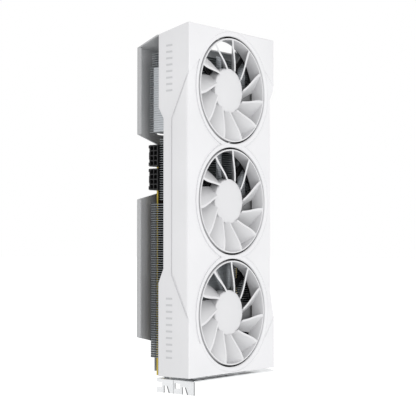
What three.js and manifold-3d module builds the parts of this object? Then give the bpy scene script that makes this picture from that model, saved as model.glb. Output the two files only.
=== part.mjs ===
// A triple-fan graphics card, built from its separate pieces, in millimetres.
//
// The card stands on end: +Z runs along its length away from the I/O bracket, -Y is the way the
// fans face, +Y the backplate, -X the long edge with the power sockets and +X the edge that plugs
// into the motherboard. While modelling, x = 0 is the shroud's outer long edge, y = 0 the fan face
// and z = 0 the shroud's bracket end; the finished group is then moved so that its origin lies on
// the bracket's outer face, half-way along the bracket, in the circuit board's middle plane.
import * as THREE from 'three';
import { mergeVertices } from 'three/addons/utils/BufferGeometryUtils.js';
import Module from 'manifold-3d';

const wasm = await Module();
wasm.setup();

// Driving dimensions
const LENGTH = 292; // shroud, along the fan face
const WIDTH = 119.5; // shroud, from its outer edge to its motherboard edge
const DEPTH = 56.5; // from the fan face to the backplate's outer face
const END_SLOPE = 0.22; // how fast the shroud's far end slants, in mm of length per mm of depth
const PLATE_SLOPE = 0.388; // the same for the backplate's end wall
const GAP = 0.3; // clearance kept between touching pieces

const WALL = 2.2; // moulded shroud wall
const SIDE_DEPTH = 33.6; // shroud's long outer wall, in its deep stretches
const WAIST_DEPTH = 28.9; // the same wall, in its shallow middle stretch
const WAIST = { low: 77, lowIn: 89, highIn: 214, high: 223 }; // where that wall steps
const EDGE_DEPTH = 38.5; // shroud's motherboard-side wall, as far as the board reaches
const EDGE_STEP = { low: 200, high: 210 }; // where that wall steps up to SIDE_DEPTH
const EDGE_NOTCH = { low: 50, high: 122, depth: 36.9 }; // relief beside the edge connector
const EDGE_WAIST = { low: 45, lowIn: 68, highIn: 238, high: 247, inset: 5 }; // motherboard edge
const END_VENT = { x0: 12, x1: 108, y0: 15, y1: 38.9 }; // opening in the slanted far end

const FAN_COUNT = 3;
const FAN_PITCH = 95.2;
const FAN_X = 60.55;
const FAN_MIDDLE_Z = LENGTH / 2;
const OPENING_R = 46;
const ROTOR_R = 44.5;
const HUB_R = 19.3;
const BLADE_COUNT = 11;
const FAN_PHASES = [9.3, 6.5, 6.5]; // degrees each rotor is turned to, from the bracket end up

const SHEET = 1.2; // backplate sheet
const BOARD = { x0: 18.7, x1: 127.5, z0: -2, z1: 197, y0: 49.2, thick: 1.6 };
const BOARD_BACK = BOARD.y0 + BOARD.thick;
const BOARD_MIDDLE = BOARD.y0 + BOARD.thick / 2;
const FINGERS = { x: 136, z0: 38, z1: 124, keyLow: 49.6, keyHigh: 51.5 };

const FIN = { x0: 9, x1: 110, edgeX: 26, front: 18.5, pitch: 3.9, thick: 0.8 };
const PIPE_ZONE = { x0: 31.5, x1: 107, y0: 36.7, y1: 43.7 }; // channel for the heatpipes
const PIPE = { r: 3, count: 5, pitch: 13.5, z0: 20, z1: 268 };

const GPU = { x: 70, z: 107, size: 45, dieX: 22, dieZ: 24, screwSpacing: 58 };
const BRACKET = { outer: -6, thick: 1, x0: 23.5, x1: 137.5, y0: 13.6, y1: 54.8, tip: -17 };
const SLOT_PITCH = 20.32; // expansion slots of a computer case

// Colours
const paint = (color, roughness, metalness = 0) =>
  new THREE.MeshStandardMaterial({ color, roughness, metalness });
const white = paint(0xf1f1f3, 0.45);
const whitePlastic = paint(0xe6e7e9, 0.4);
const coatedMetal = paint(0xd9dadd, 0.4, 0.6);
const aluminium = paint(0xa9b0b5, 0.35, 1);
const copper = paint(0xc07a4e, 0.3, 1);
const steel = paint(0xc9cbcd, 0.3, 1);
const blackPlastic = paint(0x111112, 0.5);
const boardBlack = paint(0x16181a, 0.55);
const silicon = paint(0x3a3d42, 0.2, 0.3);

// Turns a three.js geometry into a closed solid that can be joined and cut.
function solid(geometry) {
  const bare = geometry.index ? geometry.toNonIndexed() : geometry.clone();
  bare.deleteAttribute('normal');
  bare.deleteAttribute('uv');
  const merged = mergeVertices(bare, 1e-4);
  const points = merged.attributes.position.array;
  const corners = merged.index.array;
  const triangles = [];
  let volume = 0;
  for (let i = 0; i < corners.length; i += 3) {
    const [a, b, c] = [corners[i], corners[i + 1], corners[i + 2]];
    if (a === b || b === c || c === a) continue;
    triangles.push(a, b, c);
    const [pa, pb, pc] = [a, b, c].map((n) => new THREE.Vector3().fromArray(points, n * 3));
    volume += pa.dot(pb.cross(pc));
  }
  if (volume < 0) triangles.reverse();
  return new wasm.Manifold(
    new wasm.Mesh({
      numProp: 3,
      vertProperties: new Float32Array(points),
      triVerts: new Uint32Array(triangles),
    }),
  );
}

function box(x0, x1, y0, y1, z0, z1) {
  const shape = new THREE.BoxGeometry(x1 - x0, y1 - y0, z1 - z0);
  return solid(shape.translate((x0 + x1) / 2, (y0 + y1) / 2, (z0 + z1) / 2));
}

function extruded(points, depth) {
  const outline = new THREE.Shape(points.map(([a, b]) => new THREE.Vector2(a, b)));
  return new THREE.ExtrudeGeometry(outline, { depth, bevelEnabled: false });
}

// An (x, z) outline with its thickness along y.
function slab(points, y0, y1) {
  return solid(extruded(points, y1 - y0).rotateX(Math.PI / 2).translate(0, y1, 0));
}

// A (y, z) outline with its length along x.
function prism(points, x0, x1) {
  const turn = new THREE.Matrix4().set(0, 0, 1, 0, 1, 0, 0, 0, 0, 1, 0, 0, 0, 0, 0, 1);
  return solid(extruded(points, x1 - x0).applyMatrix4(turn).translate(x0, 0, 0));
}

// A (radius, y) profile revolved about the y axis, its last point joined to its first.
function turned(profile, segments, x = 0, z = 0) {
  const loop = [...profile, profile[0]].map(([r, y]) => new THREE.Vector2(r, y));
  return solid(new THREE.LatheGeometry(loop, segments).translate(x, 0, z));
}

const disc = (radius, y0, y1, segments, x = 0, z = 0) =>
  turned([[0, y0], [radius, y0], [radius, y1], [0, y1]], segments, x, z);

const ring = (inner, outer, y0, y1, segments) =>
  turned([[inner, y0], [outer, y0], [outer, y1], [inner, y1]], segments);

const join = (shapes) => shapes.reduce((whole, shape) => whole.add(shape));
const cut = (shape, tools) => tools.reduce((whole, tool) => whole.subtract(tool), shape);
const range = (count) => [...Array(count).keys()];

const card = new THREE.Group();

function place(name, shape, material, group = card) {
  const { vertProperties, triVerts } = shape.getMesh();
  const geometry = new THREE.BufferGeometry();
  geometry.setAttribute('position', new THREE.BufferAttribute(vertProperties, 3));
  geometry.setIndex(new THREE.BufferAttribute(triVerts, 1));
  const faceted = geometry.toNonIndexed();
  faceted.computeVertexNormals();
  const mesh = new THREE.Mesh(faceted, material);
  mesh.name = name;
  group.add(mesh);
}

const shroudEnd = (y) => LENGTH - END_SLOPE * y; // height of the slanted far end at a given depth
const fanZ = (index) => FAN_MIDDLE_Z + (index - 1) * FAN_PITCH;

// Shroud: a moulded tray, open at the back and at the bracket end, with three fan openings
function shroudBlock(inset) {
  const back = inset > 0 ? EDGE_DEPTH + 1 : EDGE_DEPTH;
  const foot = inset > 0 ? -1 : 0;
  const top = (y) => shroudEnd(y) - inset;
  const side = prism([[inset, foot], [back, foot], [back, top(back)], [inset, top(inset)]],
    inset, WIDTH - inset);
  const edge = WIDTH - inset;
  const waist = edge - EDGE_WAIST.inset;
  const face = slab([
    [inset, foot], [edge, foot], [edge, EDGE_WAIST.low], [waist, EDGE_WAIST.lowIn],
    [waist, EDGE_WAIST.highIn], [edge, EDGE_WAIST.high], [edge, LENGTH], [inset, LENGTH],
  ], inset, back);
  return side.intersect(face);
}

function shroud() {
  const behind = EDGE_DEPTH + 1;
  const outerCut = prism([
    [behind, -1], [SIDE_DEPTH, -1], [SIDE_DEPTH, WAIST.low], [WAIST_DEPTH, WAIST.lowIn],
    [WAIST_DEPTH, WAIST.highIn], [SIDE_DEPTH, WAIST.high], [SIDE_DEPTH, LENGTH], [behind, LENGTH],
  ], -1, FAN_X);
  const edgeCut = prism([
    [behind, EDGE_STEP.low], [EDGE_DEPTH, EDGE_STEP.low], [SIDE_DEPTH, EDGE_STEP.high],
    [SIDE_DEPTH, LENGTH], [behind, LENGTH],
  ], FAN_X, WIDTH + 1);
  const notch = box(FAN_X, WIDTH + 1, EDGE_NOTCH.depth, behind, EDGE_NOTCH.low, EDGE_NOTCH.high);
  const openings = range(FAN_COUNT).map((n) => disc(OPENING_R, -1, WALL + 1, 48, FAN_X, fanZ(n)));
  const vent = box(END_VENT.x0, END_VENT.x1, END_VENT.y0, SIDE_DEPTH + 1, LENGTH - 20, LENGTH + 1);
  return cut(shroudBlock(0), [shroudBlock(WALL), outerCut, edgeCut, notch, vent, ...openings]);
}

place('shroud', shroud(), white);

// Backplate: a thin metal tray with a notch round the power sockets, an air window and an end wall
const NOTCH = { x: 25, low: 147, lowIn: 153, highIn: 195, high: 202 };
const FOOT_STEP = { x: 22, z0: 1, low: 26, high: 31 }; // the plate is narrower near the bracket
const LIP_DEPTH = 4;
const WINDOW = { x0: 23, x1: 107, z0: 203.5, z1: 262 };
const END_WALL_Y = SIDE_DEPTH + GAP; // front edge of the end wall
const plateEnd = (y) => shroudEnd(END_WALL_Y) - PLATE_SLOPE * (y - END_WALL_Y);
const BRACE_WINDOW = 46;
const PLATE_SCREWS = [[30, 20], [112, 20], [36, 187], [112, 190]];
const SCREW = { headR: 2.3, holeR: 2.6, shankR: 1.15, shankHoleR: 1.45, head: 1 };

function backplate() {
  const top = plateEnd(DEPTH) - 0.01;
  const inner = DEPTH - SHEET;
  const plate = slab([
    [0, FOOT_STEP.high], [0, NOTCH.low], [NOTCH.x, NOTCH.lowIn], [NOTCH.x, NOTCH.highIn],
    [0, NOTCH.high], [0, top], [WIDTH, top], [WIDTH, FOOT_STEP.z0], [FOOT_STEP.x, FOOT_STEP.z0],
    [FOOT_STEP.x, FOOT_STEP.low],
  ], inner, DEPTH);
  const lip = (x, z0, z1) => box(x, x + SHEET, DEPTH - LIP_DEPTH, DEPTH, z0, z1);
  const endWall = prism([
    [END_WALL_Y, plateEnd(END_WALL_Y)], [END_WALL_Y, plateEnd(END_WALL_Y) - SHEET],
    [DEPTH, plateEnd(DEPTH) - SHEET], [DEPTH, plateEnd(DEPTH)],
  ], 0, WIDTH);
  const endVent = box(END_VENT.x0, END_VENT.x1, END_WALL_Y - 1, END_VENT.y1, LENGTH - 20, LENGTH);
  const airWindow = box(WINDOW.x0, WINDOW.x1, inner - 1, DEPTH + 1, WINDOW.z0, WINDOW.z1);
  const half = BRACE_WINDOW / 2;
  const braceWindow = box(GPU.x - half, GPU.x + half, inner - 1, DEPTH + 1, GPU.z - half, GPU.z + half);
  const screwHoles = PLATE_SCREWS.map(([x, z]) => disc(SCREW.holeR, inner - 1, DEPTH + 1, 12, x, z));
  const tray = join([
    plate,
    lip(0, FOOT_STEP.high, NOTCH.low),
    lip(0, NOTCH.high, top),
    lip(WIDTH - SHEET, FOOT_STEP.z0, top),
    endWall,
  ]);
  return cut(tray, [airWindow, endVent, braceWindow, ...screwHoles]);
}

place('backplate', backplate(), coatedMetal);

// Screws: a flat head towards the back and a plain shank towards the front
function screw(x, z, headY, tipY) {
  const seat = headY - SCREW.head;
  return turned([
    [0, tipY], [SCREW.shankR, tipY], [SCREW.shankR, seat], [SCREW.headR, seat],
    [SCREW.headR, headY], [0, headY],
  ], 12, x, z);
}

PLATE_SCREWS.forEach(([x, z], n) => {
  place(`backplate_screw_${n + 1}`, screw(x, z, DEPTH, BOARD_BACK + GAP), steel);
});

// Circuit board with its edge connector tab and its screw holes
const BRACE_SCREWS = [[-1, -1], [1, -1], [-1, 1], [1, 1]].map(([sx, sz]) => [
  GPU.x + (sx * GPU.screwSpacing) / 2,
  GPU.z + (sz * GPU.screwSpacing) / 2,
]);
const EARS = [28.5, 122]; // bracket ears, screwed to the board
const EAR = { half: 3.5, z1: 7, screwZ: 2.5, thick: 1 };
const KEY_DEPTH = 7.4;
const HOOK = { low: 130, high: 133, x: 132.5 };

function circuitBoard() {
  const board = slab([
    [BOARD.x0, BOARD.z0], [BOARD.x1, BOARD.z0], [BOARD.x1, FINGERS.z0], [FINGERS.x, FINGERS.z0],
    [FINGERS.x, FINGERS.keyLow], [FINGERS.x - KEY_DEPTH, FINGERS.keyLow],
    [FINGERS.x - KEY_DEPTH, FINGERS.keyHigh], [FINGERS.x, FINGERS.keyHigh],
    [FINGERS.x, FINGERS.z1], [BOARD.x1, FINGERS.z1], [BOARD.x1, HOOK.low], [HOOK.x, HOOK.low],
    [HOOK.x, HOOK.high], [BOARD.x1, HOOK.high], [BOARD.x1, BOARD.z1], [BOARD.x0, BOARD.z1],
  ], BOARD.y0, BOARD_BACK);
  const spots = [...BRACE_SCREWS, ...EARS.map((x) => [x, EAR.screwZ])];
  const holes = spots.map(([x, z]) => disc(SCREW.shankHoleR, BOARD.y0 - 1, BOARD_BACK + 1, 12, x, z));
  return cut(board, holes);
}

place('circuit_board', circuitBoard(), boardBlack);

// Graphics processor, memory and power stage on the board's front
function onBoard(name, x, z, sizeX, sizeZ, height, material) {
  const back = BOARD.y0 - GAP;
  place(name, box(x - sizeX / 2, x + sizeX / 2, back - height, back, z - sizeZ / 2, z + sizeZ / 2),
    material);
}

const PACKAGE_HEIGHT = 1.3;
const MEMORY = { long: 14, short: 12, height: 1.1, offset: 34, spread: 9 };
const CHOKE = { size: 8, height: 4.6, x0: 40, pitch: 14, z: 170 };

onBoard('gpu_package', GPU.x, GPU.z, GPU.size, GPU.size, PACKAGE_HEIGHT, boardBlack);

const dieBack = BOARD.y0 - PACKAGE_HEIGHT - 2 * GAP;
const DIE_HEIGHT = 0.8;
place('gpu_die', box(GPU.x - GPU.dieX / 2, GPU.x + GPU.dieX / 2, dieBack - DIE_HEIGHT, dieBack,
  GPU.z - GPU.dieZ / 2, GPU.z + GPU.dieZ / 2), silicon);

const memoryPlaces = [-1, 1].flatMap((side) => [
  [GPU.x + side * MEMORY.offset, GPU.z - MEMORY.spread, MEMORY.short, MEMORY.long],
  [GPU.x + side * MEMORY.offset, GPU.z + MEMORY.spread, MEMORY.short, MEMORY.long],
  [GPU.x + side * MEMORY.spread, GPU.z - MEMORY.offset, MEMORY.long, MEMORY.short],
]);
memoryPlaces.forEach(([x, z, sizeX, sizeZ], n) => {
  onBoard(`memory_${n + 1}`, x, z, sizeX, sizeZ, MEMORY.height, blackPlastic);
});

range(4).forEach((n) => {
  onBoard(`choke_${n + 1}`, CHOKE.x0 + n * CHOKE.pitch, CHOKE.z, CHOKE.size, CHOKE.size,
    CHOKE.height, silicon);
});

// Cooler: a cold plate on the processor, five heatpipes and three stacks of fins
const COLD_PLATE = { x0: 32.5, x1: 106, z0: 62, z1: 152, y0: 43.6 };
const coldPlateBack = dieBack - DIE_HEIGHT - GAP;
place('cold_plate', box(COLD_PLATE.x0, COLD_PLATE.x1, COLD_PLATE.y0, coldPlateBack,
  COLD_PLATE.z0, COLD_PLATE.z1), copper);

const pipeY = COLD_PLATE.y0 - GAP - PIPE.r;
const pipesStart = (PIPE_ZONE.x0 + PIPE_ZONE.x1 - (PIPE.count - 1) * PIPE.pitch) / 2;

function heatpipe(x) {
  const circle = new THREE.Shape().absarc(0, 0, PIPE.r, 0, 2 * Math.PI);
  const options = { depth: PIPE.z1 - PIPE.z0, bevelEnabled: false, curveSegments: 12 };
  return solid(new THREE.ExtrudeGeometry(circle, options).translate(x, pipeY, PIPE.z0));
}

range(PIPE.count).forEach((n) => {
  place(`heatpipe_${n + 1}`, heatpipe(pipesStart + n * PIPE.pitch), copper);
});

// A stack of fins. Above its step, where it has one, its fins reach less far back, and beside the
// board's edge some reach further. Their folded edges make one thin floor, under the heatpipes.
function finStack(stack) {
  const count = Math.floor((stack.z1 - stack.z0) / FIN.pitch) + 1;
  const fins = range(count).flatMap((n) => {
    const z = stack.z0 + n * FIN.pitch;
    const back = z > stack.step ? stack.shallow : stack.back;
    const edgeBack = stack.edgeBack ?? back;
    return [
      box(FIN.x0, FIN.x1, FIN.front, back, z, z + FIN.thick),
      box(FIN.x0, FIN.edgeX, FIN.front, edgeBack, z, z + FIN.thick),
    ];
  });
  const floor = box(PIPE_ZONE.x0 - 2, PIPE_ZONE.x1 + 2, PIPE_ZONE.y0 - FIN_FLOOR, PIPE_ZONE.y0,
    stack.z0, stack.z1);
  const channel = box(PIPE_ZONE.x0, PIPE_ZONE.x1, PIPE_ZONE.y0, stack.channelBack,
    stack.z0 - 1, stack.z1 + 2);
  return join([...fins, floor]).subtract(channel);
}

const FIN_FLOOR = 0.6;
const STACKS = {
  main: { z0: 14, z1: 144, back: 47.5, edgeBack: 48.8, channelBack: DEPTH },
  power: { z0: 146.6, z1: 198.5, back: 39, channelBack: DEPTH },
  tail: { z0: 204, step: 260, z1: 272, back: 50.2, shallow: 47.6, channelBack: PIPE_ZONE.y1 },
};

Object.entries(STACKS).forEach(([name, stack]) => {
  place(`fin_stack_${name}`, finStack(stack), aluminium);
});

// Spring brace behind the processor, with its four screws
const BRACE = { y0: 51.3, thick: 1.4, arm: 7, hub: 15 };

function braceArm(angle) {
  const reach = (GPU.screwSpacing / 2) * Math.SQRT2 + 4;
  const bar = new THREE.BoxGeometry(2 * reach, BRACE.thick, BRACE.arm).rotateY(angle);
  return solid(bar.translate(GPU.x, BRACE.y0 + BRACE.thick / 2, GPU.z));
}

const braceBack = BRACE.y0 + BRACE.thick;
const braceHoles = BRACE_SCREWS.map(([x, z]) =>
  disc(SCREW.shankHoleR, BRACE.y0 - 1, braceBack + 1, 12, x, z));

place('retention_brace', cut(join([
  braceArm(Math.PI / 4),
  braceArm(-Math.PI / 4),
  disc(BRACE.hub, BRACE.y0, braceBack, 8, GPU.x, GPU.z),
]), braceHoles), steel);

BRACE_SCREWS.forEach(([x, z], n) => {
  const head = braceBack + GAP + SCREW.head;
  place(`brace_screw_${n + 1}`, screw(x, z, head, coldPlateBack + GAP), steel);
});

// Power sockets: two eight-way headers with their pockets facing the outer long edge
const POWER = { x0: 6.9, x1: 26, y0: 39.4, z: [164, 184], length: 18.2, pocket: 3.5, pitch: 4.2 };
const POCKET_DEPTH = 9;
const LATCH = { x0: 8, x1: 14, half: 3, rise: 1.4 };

function powerSocket(z) {
  const back = BOARD.y0 - GAP;
  const y = (POWER.y0 + back) / 2;
  const half = POWER.pocket / 2;
  const pockets = [-0.5, 0.5].flatMap((row) => [-1.5, -0.5, 0.5, 1.5].map((column) => {
    const [py, pz] = [y + row * POWER.pitch, z + column * POWER.pitch];
    return box(POWER.x0 - 1, POWER.x0 + POCKET_DEPTH, py - half, py + half, pz - half, pz + half);
  }));
  const housing = box(POWER.x0, POWER.x1, POWER.y0, back, z - POWER.length / 2, z + POWER.length / 2);
  const latch = box(LATCH.x0, LATCH.x1, back - 0.1, back + LATCH.rise, z - LATCH.half, z + LATCH.half);
  return cut(housing.add(latch), pockets);
}

POWER.z.forEach((z, n) => place(`power_socket_${n + 1}`, powerSocket(z), blackPlastic));

// Video sockets: metal shells that look out through the bracket
const VIDEO = { xs: [44, 65, 86, 107], halfX: 8.6, y0: 41.2, y1: 48.6, wall: 0.6, z1: 12, depth: 10 };
const SHELL_FRONT = BRACKET.outer + 0.2;

function videoSocket(x) {
  const shell = box(x - VIDEO.halfX, x + VIDEO.halfX, VIDEO.y0, VIDEO.y1, SHELL_FRONT, VIDEO.z1);
  return shell.subtract(box(x - VIDEO.halfX + VIDEO.wall, x + VIDEO.halfX - VIDEO.wall,
    VIDEO.y0 + VIDEO.wall, VIDEO.y1 - VIDEO.wall, SHELL_FRONT - 1, SHELL_FRONT + VIDEO.depth));
}

VIDEO.xs.forEach((x, n) => place(`video_socket_${n + 1}`, videoSocket(x), steel));

// Bracket: the two-slot face plate, its flange for the case screws, its tongues and its ears
const TONGUE = { x1: 143.5, low: 41.3, wide: 10.2 };
const FLANGE_SLOT = { y: 52, z0: -12.6, z1: -8.2, wide: 5.7 };
const VENT = { x0: 34, x1: 128, count: 9, y0: 18, y1: 36, wide: 3.2 };
const V_CUT = { y: 47.5, wide: 4, top: -11.5 };

function flange() {
  const blank = box(BRACKET.x0, BRACKET.x0 + BRACKET.thick, BRACKET.y0, BRACKET.y1,
    BRACKET.tip, BRACKET.outer + BRACKET.thick);
  const tools = [0, 1].flatMap((slot) => {
    const shift = -slot * SLOT_PITCH;
    const open = slot === 0 ? FLANGE_SLOT.wide : 0;
    const y0 = FLANGE_SLOT.y + shift - FLANGE_SLOT.wide / 2;
    const vTop = V_CUT.y + shift;
    return [
      box(BRACKET.x0 - 1, BRACKET.x0 + 2, y0, y0 + FLANGE_SLOT.wide + open,
        FLANGE_SLOT.z0, FLANGE_SLOT.z1),
      prism([
        [vTop, V_CUT.top], [vTop, BRACKET.tip - 1], [vTop - V_CUT.wide, BRACKET.tip - 1],
        [vTop - V_CUT.wide / 2, V_CUT.top],
      ], BRACKET.x0 - 1, BRACKET.x0 + 2),
    ];
  });
  return cut(blank, tools);
}

function bracket() {
  const [outer, inner] = [BRACKET.outer, BRACKET.outer + BRACKET.thick];
  const tongues = [0, 1].map((slot) => {
    const y0 = TONGUE.low - slot * SLOT_PITCH;
    return box(BRACKET.x1 - 1, TONGUE.x1, y0, y0 + TONGUE.wide, outer, inner);
  });
  const earBack = BOARD.y0 - GAP;
  const ears = EARS.map((x) =>
    box(x - EAR.half, x + EAR.half, earBack - EAR.thick, earBack, outer + 0.5, EAR.z1));
  const earHoles = EARS.map((x) => disc(SCREW.shankHoleR, earBack - 2, earBack + 1, 12, x, EAR.screwZ));
  const sockets = VIDEO.xs.map((x) => box(x - VIDEO.halfX - GAP, x + VIDEO.halfX + GAP,
    VIDEO.y0 - GAP, VIDEO.y1 + GAP, outer - 1, inner + 1));
  const ventPitch = (VENT.x1 - VENT.x0) / VENT.count;
  const vents = range(VENT.count).map((n) => {
    const x = VENT.x0 + (n + 0.5) * ventPitch;
    return box(x - VENT.wide / 2, x + VENT.wide / 2, VENT.y0, VENT.y1, outer - 1, inner + 1);
  });
  const face = box(BRACKET.x0, BRACKET.x1, BRACKET.y0, BRACKET.y1, outer, inner);
  return cut(join([face, flange(), ...tongues, ...ears]), [...sockets, ...vents, ...earHoles]);
}

place('io_bracket', bracket(), steel);

EARS.forEach((x, n) => {
  const head = BOARD_BACK + GAP + SCREW.head;
  place(`bracket_screw_${n + 1}`, screw(x, EAR.screwZ, head, BOARD.y0 - GAP - EAR.thick), steel);
});

// Fans: each is a frame with a motor, and a rotor on a shaft. Depths are measured from the fan face.
const RIM = { inner: 43.2, front: 0.8, back: 13.4 };
const RIM_SEGMENTS = 44;
const TIP_GAP = 0.02; // the ring and the blades are one moulding, kept as two simpler solids
const HUB = { front: 5, back: 14.4, wall: 1.6, bossR: 2.6, bossBack: 7.6 };
const BLADE = { root: 3.3, tip: 0.9, back: 14.2, thick: 1.2, sweep: 18, rootChord: 28, tipChord: 21 };
const FRAME = { front: 15.2, back: 17.2, discR: 17, armWide: 6, armReach: 53, footFront: 2.5 };
const CABLE_ARM = { x0: 10, x1: 45.5, z0: -9, z1: 7 }; // from the fan's axis
const SHAFT = { r: 1.5, front: 7.9, back: 16.4 };
const BEARING = { inner: 1.8, outer: 3.4, front: 8.2, back: 17 };
const STATOR = { inner: 3.7, core: 7, outer: 13.5, front: 8.2, back: 14.2, poles: 4, poleWide: 6 };

// A blade is a curved sheet. Its front edge leans forwards and ahead as it runs out, fast at first,
// and from there the sheet goes back as it turns clockwise.
function blade(start) {
  const stations = range(5).map((n) => HUB_R - 0.8 + (n * (RIM.inner + 0.5 - HUB_R + 0.8)) / 4);
  const steps = [0, 0.5, 1];
  const point = (radius, step, depth) => {
    const outward = (radius - HUB_R) / (RIM.inner - HUB_R);
    const chord = THREE.MathUtils.lerp(BLADE.rootChord, BLADE.tipChord, outward);
    const lean = outward * (2 - outward);
    const angle = THREE.MathUtils.degToRad(start + BLADE.sweep * lean - chord * step);
    const front = THREE.MathUtils.lerp(BLADE.root, BLADE.tip, lean);
    const y = THREE.MathUtils.lerp(front, BLADE.back - BLADE.thick, step ** 0.85) + depth;
    return [radius * Math.cos(angle), y, radius * Math.sin(angle)];
  };
  const points = [0, BLADE.thick].flatMap((depth) =>
    stations.flatMap((radius) => steps.map((step) => point(radius, step, depth))));
  const layer = stations.length * steps.length;
  const at = (side, row, step) => side * layer + row * steps.length + step;
  const faces = [];
  const quad = (a, b, c, d) => faces.push(a, b, c, a, c, d);
  const [lastRow, lastStep] = [stations.length - 1, steps.length - 1];
  range(lastRow).forEach((row) => {
    range(lastStep).forEach((step) => {
      quad(at(0, row, step), at(0, row + 1, step), at(0, row + 1, step + 1), at(0, row, step + 1));
      quad(at(1, row, step), at(1, row, step + 1), at(1, row + 1, step + 1), at(1, row + 1, step));
    });
    quad(at(0, row, 0), at(1, row, 0), at(1, row + 1, 0), at(0, row + 1, 0));
    quad(at(0, row, lastStep), at(0, row + 1, lastStep), at(1, row + 1, lastStep), at(1, row, lastStep));
  });
  range(lastStep).forEach((step) => {
    quad(at(0, 0, step), at(0, 0, step + 1), at(1, 0, step + 1), at(1, 0, step));
    quad(at(0, lastRow, step), at(1, lastRow, step), at(1, lastRow, step + 1), at(0, lastRow, step + 1));
  });
  const geometry = new THREE.BufferGeometry();
  geometry.setAttribute('position', new THREE.Float32BufferAttribute(points.flat(), 3));
  geometry.setIndex(faces);
  return solid(geometry);
}

// The hub and its blades, whose tips end on the inside of the rim ring.
function rotor(phase) {
  const inside = HUB_R - HUB.wall;
  const cap = HUB.front + HUB.wall;
  const hub = turned([
    [0, HUB.front], [HUB_R - 1, HUB.front], [HUB_R, HUB.front + 1], [HUB_R, HUB.back],
    [inside, HUB.back], [inside, cap], [HUB.bossR, cap], [HUB.bossR, HUB.bossBack],
    [0, HUB.bossBack],
  ], 33);
  const blades = range(BLADE_COUNT).map((n) => blade(phase + (n * 360) / BLADE_COUNT));
  return join([hub, ...blades]).intersect(disc(RIM.inner - TIP_GAP, 0, DEPTH, RIM_SEGMENTS));
}

function fanFrame() {
  const arms = [45, 135, 225, 315].map((angle) => {
    const arm = new THREE.BoxGeometry(FRAME.armReach - 10, FRAME.back - FRAME.front, FRAME.armWide);
    arm.translate(10 + (FRAME.armReach - 10) / 2, (FRAME.front + FRAME.back) / 2, 0);
    const post = new THREE.BoxGeometry(5, FRAME.back - FRAME.footFront, FRAME.armWide);
    post.translate(FRAME.armReach - 2.5, (FRAME.footFront + FRAME.back) / 2, 0);
    const turn = THREE.MathUtils.degToRad(angle);
    return solid(arm.rotateY(turn)).add(solid(post.rotateY(turn)));
  });
  const cableArm = box(CABLE_ARM.x0, CABLE_ARM.x1, FRAME.front, FRAME.back, CABLE_ARM.z0, CABLE_ARM.z1);
  const plate = join([disc(FRAME.discR, FRAME.front, FRAME.back, 24), ...arms, cableArm]);
  return plate.subtract(disc(BEARING.outer + GAP, FRAME.front - 1, FRAME.back + 1, 12));
}

function stator() {
  const poles = range(STATOR.poles).map((n) => {
    const pole = new THREE.BoxGeometry(STATOR.outer - 5, STATOR.back - STATOR.front, STATOR.poleWide);
    pole.translate((STATOR.outer + 5) / 2, (STATOR.front + STATOR.back) / 2, 0);
    return solid(pole.rotateY((n * 2 * Math.PI) / STATOR.poles));
  });
  const core = join([disc(STATOR.core, STATOR.front, STATOR.back, 16), ...poles]);
  return core.subtract(disc(STATOR.inner, STATOR.front - 1, STATOR.back + 1, 12));
}

range(FAN_COUNT).forEach((n) => {
  const fan = new THREE.Group();
  fan.position.set(FAN_X, 0, fanZ(n));
  card.add(fan);
  const name = `fan_${n + 1}`;
  place(`${name}_frame`, fanFrame(), blackPlastic, fan);
  place(`${name}_stator`, stator(), copper, fan);
  place(`${name}_bearing`, ring(BEARING.inner, BEARING.outer, BEARING.front, BEARING.back, 12),
    steel, fan);
  place(`${name}_shaft`, disc(SHAFT.r, SHAFT.front, SHAFT.back, 12), steel, fan);
  place(`${name}_rotor`, rotor(FAN_PHASES[n]), whitePlastic, fan);
  place(`${name}_ring`, ring(RIM.inner, ROTOR_R, RIM.front, RIM.back, RIM_SEGMENTS), whitePlastic,
    fan);
});

// The origin: on the bracket's outer face, half-way along it, in the board's middle plane
card.position.set(-(BRACKET.x0 + BRACKET.x1) / 2, -BOARD_MIDDLE, -BRACKET.outer);
card.updateMatrixWorld(true);

export default card;
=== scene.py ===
"""The looks of a triple-fan graphics card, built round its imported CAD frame.

Shapes are worked out in card millimetres: x from the shroud's outer long edge, y from the fan face
towards the backplate, z from the shroud's bracket end. A finished mesh is moved into the frame.
"""

import math
import random

import bmesh
import bpy
from mathutils import Matrix, Vector


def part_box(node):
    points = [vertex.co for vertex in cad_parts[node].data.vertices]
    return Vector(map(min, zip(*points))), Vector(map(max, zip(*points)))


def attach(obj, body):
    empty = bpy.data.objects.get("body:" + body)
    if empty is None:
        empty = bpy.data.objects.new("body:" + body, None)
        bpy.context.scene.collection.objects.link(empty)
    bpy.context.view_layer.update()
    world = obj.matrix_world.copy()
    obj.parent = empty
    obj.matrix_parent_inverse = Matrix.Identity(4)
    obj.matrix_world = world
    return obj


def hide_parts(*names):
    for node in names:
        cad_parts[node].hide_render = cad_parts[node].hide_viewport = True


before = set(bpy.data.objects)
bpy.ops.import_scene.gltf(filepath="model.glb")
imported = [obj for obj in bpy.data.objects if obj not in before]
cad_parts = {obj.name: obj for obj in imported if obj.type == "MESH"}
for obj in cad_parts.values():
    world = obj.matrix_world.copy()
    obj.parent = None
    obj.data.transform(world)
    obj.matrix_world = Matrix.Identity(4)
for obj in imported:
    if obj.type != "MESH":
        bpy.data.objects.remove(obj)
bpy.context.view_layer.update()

MM = 0.001
CARD = "card_body"
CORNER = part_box("shroud")[0]
INTO_FRAME = Matrix.Translation(CORNER) @ Matrix.Scale(MM, 4)


def card_box(node):
    """A CAD node's lowest and highest corners, in card millimetres."""
    return tuple((corner - CORNER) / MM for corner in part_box(node))


def card_centre(node):
    """A CAD node's middle, in card millimetres."""
    low, high = card_box(node)
    return (low + high) / 2


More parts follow.
